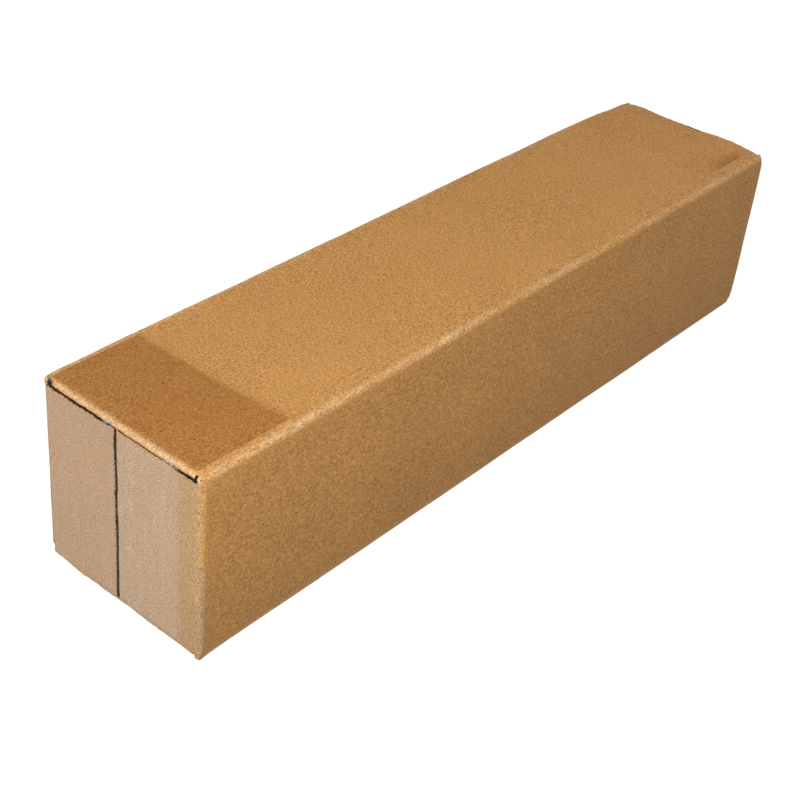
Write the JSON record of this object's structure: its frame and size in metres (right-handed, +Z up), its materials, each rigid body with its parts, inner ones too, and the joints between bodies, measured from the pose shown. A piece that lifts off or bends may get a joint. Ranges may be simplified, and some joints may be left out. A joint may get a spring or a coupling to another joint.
{
  "type": "long cardboard box",
  "caption": "Long square shipping carton of brown corrugated board, flaps folded shut and taped with clear tape at both ends.",
  "frame": {"origin": "middle of the underside, on the surface that the carton rests on", "axes": "+X along the length, away from the near taped end; +Y across, away from the long side that the picture shows; +Z up"},
  "size_m": [0.3402, 0.075, 0.0751],
  "materials": {
    "board": "matte",
    "tape": "gloss"
  },
  "bodies": {
    "root": {"carton": "board", "near_end_tape": "tape", "far_end_tape": "tape"}
  },
  "joints": []
}
